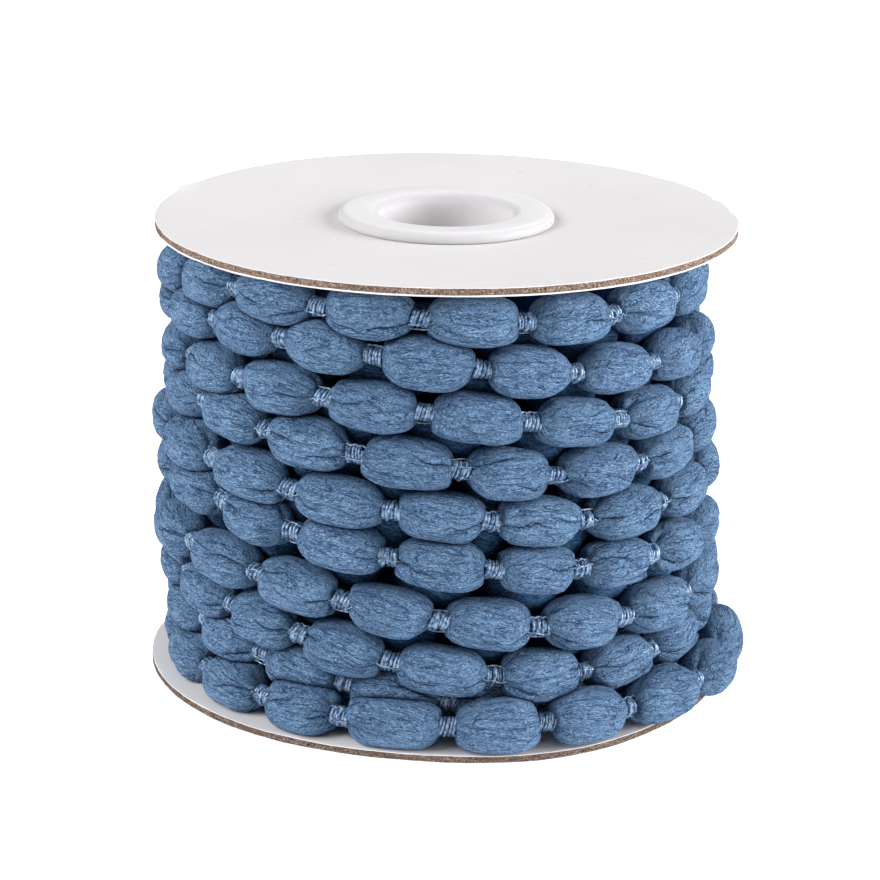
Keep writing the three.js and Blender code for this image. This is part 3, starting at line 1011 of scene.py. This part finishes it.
def shaded_core_material():
    """Painted dark as shade, and rough: the gathered fibre inside a binding and the inner drum."""
    material, tree, shader = new_material("shaded_gathered_fibre", Roughness=0.95, Specular_IOR_Level=0.1)
    place = object_place(tree)
    mottle = noise_of(tree, place, 900.0, 3.0, 0.6)
    base = mix_of(tree, mottle, colour(0, 24, 60), colour(8, 46, 92))
    wire(tree, shader, Base_Color=base, Normal=bump_of(tree, mottle, 0.7, 0.0003))
    return material


# Small marks: where they are and how far they reach along X, Y and Z, in millimetres.
PAPER_MARKS = (
    ((32.1, -28.0, 80.5), (1.3, 0.35, 2.0)),
    ((-16.6, 17.9, 80.5), (0.35, 0.45, 2.0)),
    ((-18.6, -34.4, 80.5), (1.2, 0.30, 2.0)),
)
HUB_MARKS = (
    ((11.8, 0.3, 81.0), (0.35, 0.8, 0.7)),
    ((12.5, 1.8, 81.6), (0.40, 0.7, 0.5)),
    ((16.8, -7.3, 81.0), (0.35, 0.5, 0.30)),
    ((17.7, -4.7, 80.9), (0.30, 0.8, 0.25)),
    ((-17.2, -6.2, 81.0), (0.30, 0.4, 0.25)),
)


def marked(tree, place, base, marks, shade):
    """A base colour with small marks of another shade."""
    for places, reaches in marks:
        scale = tuple(1 / (reach * MM) for reach in reaches)
        middle = tuple(at / reach for at, reach in zip(places, reaches))
        inputs = {0: stretched(tree, place, scale), 1: middle}
        measure = add_node(tree, "ShaderNodeVectorMath", {"operation": "DISTANCE"}, inputs)
        mottle = noise_of(tree, place, 2500.0, 2.0, 0.6)
        ragged = math_of(tree, "ADD", measure.outputs["Value"], mottle)
        base = mix_of(tree, ramp_of(tree, ragged, 1.4, 0.7), base, shade)
    return base


def paper_material():
    """Off-white matt facing paper, faintly cloudy, with rub marks."""
    material, tree, shader = new_material("facing_paper", Specular_IOR_Level=0.3)
    place = object_place(tree)
    cloud = noise_of(tree, place, 35.0, 3.0, 0.55)
    grain = noise_of(tree, place, 900.0, 2.0, 0.6)
    specks = noise_of(tree, place, 260.0)
    clouded = ramp_of(tree, cloud, 0.35, 0.7)
    base = mix_of(tree, clouded, colour(225, 222, 223), colour(221, 218, 220))
    base = mix_of(tree, ramp_of(tree, specks, 0.74, 0.80), base, colour(176, 170, 166), 0.35)
    base = marked(tree, place, base, PAPER_MARKS, colour(206, 203, 203))
    rough = math_of(tree, "MULTIPLY_ADD", grain, 0.15, 0.60)
    normal = bump_of(tree, grain, 0.15, 0.0001)
    wire(tree, shader, Base_Color=base, Roughness=rough, Normal=normal)
    return material


# Shades of the cut board: dark and light layers, and the darkest and lightest specks in them.
BOARD_SHADES = ((104, 84, 74), (152, 132, 118), (66, 52, 43), (196, 180, 164))


def board_edge_material(name, shade):
    """Cut greyboard: speckled brown fibre, pressed in thin layers."""
    material, tree, shader = new_material(name, Roughness=0.95, Specular_IOR_Level=0.15)
    place = object_place(tree)
    layers = noise_of(tree, place, (700, 700, 3400), 3.0, 0.65, 0.3)
    specks = noise_of(tree, place, 3600.0, 2.0, 0.7)
    blotch = noise_of(tree, place, (110, 110, 300), 2.0)
    # A shade under 1 darkens the board's colours as painted shade.
    dark, light, darkest, lightest = (colour(*(shade * np.array(shown))) for shown in BOARD_SHADES)
    base = mix_of(tree, ramp_of(tree, layers, 0.35, 0.65), dark, light)
    base = mix_of(tree, ramp_of(tree, specks, 0.49, 0.36), base, darkest)
    base = mix_of(tree, ramp_of(tree, specks, 0.56, 0.68), base, lightest)
    base = mix_of(tree, ramp_of(tree, blotch, 0.4, 0.7), base, dark, 0.35)
    height = math_of(tree, "ADD", layers, specks)
    wire(tree, shader, Base_Color=base, Normal=bump_of(tree, height, 0.8, 0.0003))
    return material


def plastic_material():
    """White moulded plastic, semi-gloss, with faint flow clouds and small scuffs, painted shade on
    its rounded edges and painted light on its flat ring.
    """
    material, tree, shader = new_material(
        "white_plastic", Specular_IOR_Level=0.2, Subsurface_Weight=0.8, Subsurface_Scale=0.004
    )
    shader.inputs["Subsurface Radius"].default_value = (1, 1, 1)
    place = object_place(tree)
    cloud = noise_of(tree, place, 60.0, 2.0)
    scuffs = noise_of(tree, place, (700, 1500, 700), 3.0, 0.6, 0.6)
    clouded = ramp_of(tree, cloud, 0.3, 0.7)
    base = mix_of(tree, clouded, colour(224, 221, 223), colour(220, 217, 220))
    base = mix_of(tree, ramp_of(tree, scuffs, 0.70, 0.8), base, colour(190, 186, 186), 0.3)
    # Painted light whitens the flat ring and painted shade greys the rounded edges.
    base = mix_of(tree, attribute_of(tree, "flat_light"), base, colour(232, 229, 231))
    base = mix_of(tree, attribute_of(tree, "rounding_shade"), base, colour(197, 195, 197))
    base = marked(tree, place, base, HUB_MARKS, colour(150, 148, 150))
    rough = math_of(tree, "MULTIPLY_ADD", scuffs, 0.25, 0.30)
    normal = bump_of(tree, cloud, 0.1, 0.0004)
    wire(tree, shader, Base_Color=base, Roughness=rough, Normal=normal)
    return material


# Stage


def add_floor():
    """A plain pale floor, 12 m across."""
    bm = bmesh.new()
    bmesh.ops.create_grid(bm, x_segments=1, y_segments=1, size=6.0)
    mesh = mesh_of("floor", bm)
    material, _, shader = new_material(
        "pale_floor", Roughness=0.9, Specular_IOR_Level=0.1, Emission_Strength=0.6
    )
    shader.inputs["Base Color"].default_value = (0.95, 0.95, 0.95, 1)
    shader.inputs["Emission Color"].default_value = (1, 1, 1, 1)
    mesh.materials.append(material)
    floor = new_object("floor", mesh)


def add_sun(name, towards, softness, strength):
    """A wide soft light that falls evenly over the floor. Softness is its width in degrees."""
    light = bpy.data.lights.new(name, "SUN")
    light.angle = math.radians(softness)
    light.energy = strength
    lamp = new_object(name, light)
    lamp.matrix_world = Vector(towards).to_track_quat("-Z", "Y").to_matrix().to_4x4()


def add_studio():
    """A dim even sky and three soft lights."""
    world = bpy.data.worlds.new("studio")
    bpy.context.scene.world = world
    world.use_nodes = True
    background = world.node_tree.nodes["Background"]
    background.inputs["Color"].default_value = (0.98, 1, 1.02, 1)
    background.inputs["Strength"].default_value = 0.22
    add_sun("soft_front", (0.0, 1.0, -1.1), 22, 0.2)
    add_sun("soft_left", (1.0, 0.42, -0.75), 42, 3.0)
    add_sun("soft_right", (-1.0, 0.15, -0.22), 45, 5.3)
    bpy.context.scene.view_settings.view_transform = "Standard"


CAMERA_AIM = Vector((-0.0005, 0, 0.0408))
CAMERA_DISTANCE = 0.60333
CAMERA_ELEVATION = math.radians(17.07)
CAMERA_ROLL = math.radians(0.87)
CAMERA_LENS = 142.06


def add_camera():
    """The camera, at the photograph's angle in front of the roll."""
    back = Vector((0, -math.cos(CAMERA_ELEVATION), math.sin(CAMERA_ELEVATION)))
    right = Vector((1, 0, 0))
    up = back.cross(right)
    rolled_right = right * math.cos(CAMERA_ROLL) + up * math.sin(CAMERA_ROLL)
    rolled_up = up * math.cos(CAMERA_ROLL) - right * math.sin(CAMERA_ROLL)
    turn = Matrix((rolled_right, rolled_up, back)).transposed().to_4x4()
    data = bpy.data.cameras.new("camera")
    data.lens = CAMERA_LENS
    data.sensor_width = 36.0
    camera = new_object("camera", data)
    camera.matrix_world = Matrix.Translation(CAMERA_AIM + back * CAMERA_DISTANCE) @ turn
    bpy.context.scene.camera = camera


def build_winding():
    """The outer turns, the next layer down, their bindings and the drum inside."""
    waists = waist_angles()
    outer = pods_between(waists, POD_RADIUS)
    add_pinches(outer)
    link_beside(outer)
    inner_start = waists[0] + INNER_OFFSET - INNER_START_PODS * POD_ANGLE
    inner_waists = np.arange(inner_start, waists[-1] - INNER_STOP, POD_ANGLE)
    inner = pods_between(inner_waists, INNER_RADIUS, INNER_DEPTH, INNER_DROP)
    link_beside(inner)
    everyone = outer + inner
    fibre = fibre_group()
    outer_fibre = pod_material("brushed_pods", fibre, OUTER_SHARE)
    inner_fibre_shaded = pod_material("inner_pods", fibre, INNER_PAINTED_SHADE)
    template = pod_template(POD_AROUND, POD_ALONG)
    for turn in sorted({pod.turn for pod in outer}):
        pods = [pod for pod in outer if pod.turn == turn]
        piece = pods_piece(f"pods_turn_{turn + 1:02d}", pods, everyone, template, outer_fibre)
        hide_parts("winding")
    coarse = pod_template(INNER_AROUND, INNER_ALONG)
    piece = pods_piece("inner_pods", inner, everyone, coarse, inner_fibre_shaded)
    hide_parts("winding")
    shaded_core = shaded_core_material()
    thread = thread_material("silky_thread", colour(64, 91, 124), colour(138, 163, 190))
    bright_thread = thread_material("bright_thread", colour(72, 98, 130), colour(146, 169, 194))
    bindings(outer, thread, bright_thread, shaded_core)
    add_core(shaded_core)


def add_core(material):
    """The layers inside, as one drum painted dark as shade, that closes the deepest gaps."""
    high = disc_height(CORE_RADIUS) - BOARD - 0.2
    low = WHOLE_HEIGHT - high
    inside = CENTRE_HOLE + 0.2
    outline = [(inside, low + 0.4), (CORE_RADIUS, low), (CORE_RADIUS, high), (inside, high - 0.4)]
    mesh = spun("inner_layers", outline, CORE_STEPS)
    piece = add_object("inner_layers", mesh, [material])
    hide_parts("winding")
    mesh.set_sharp_from_angle(angle=SHARP_ANGLE)


def main():
    add_camera()
    build_winding()
    paper = paper_material()
    plastic = plastic_material()
    for is_lower, side, sits in ((False, "upper", UPPER_DISC), (True, "lower", LOWER_DISC)):
        edge = board_edge_material(f"cut_board_{side}", sits["shade"])
        board_disc(f"board_{side}", is_lower, paper, edge)
        hub_half(f"moulded_hub_{side}", is_lower, plastic)
    add_floor()
    add_studio()


main()
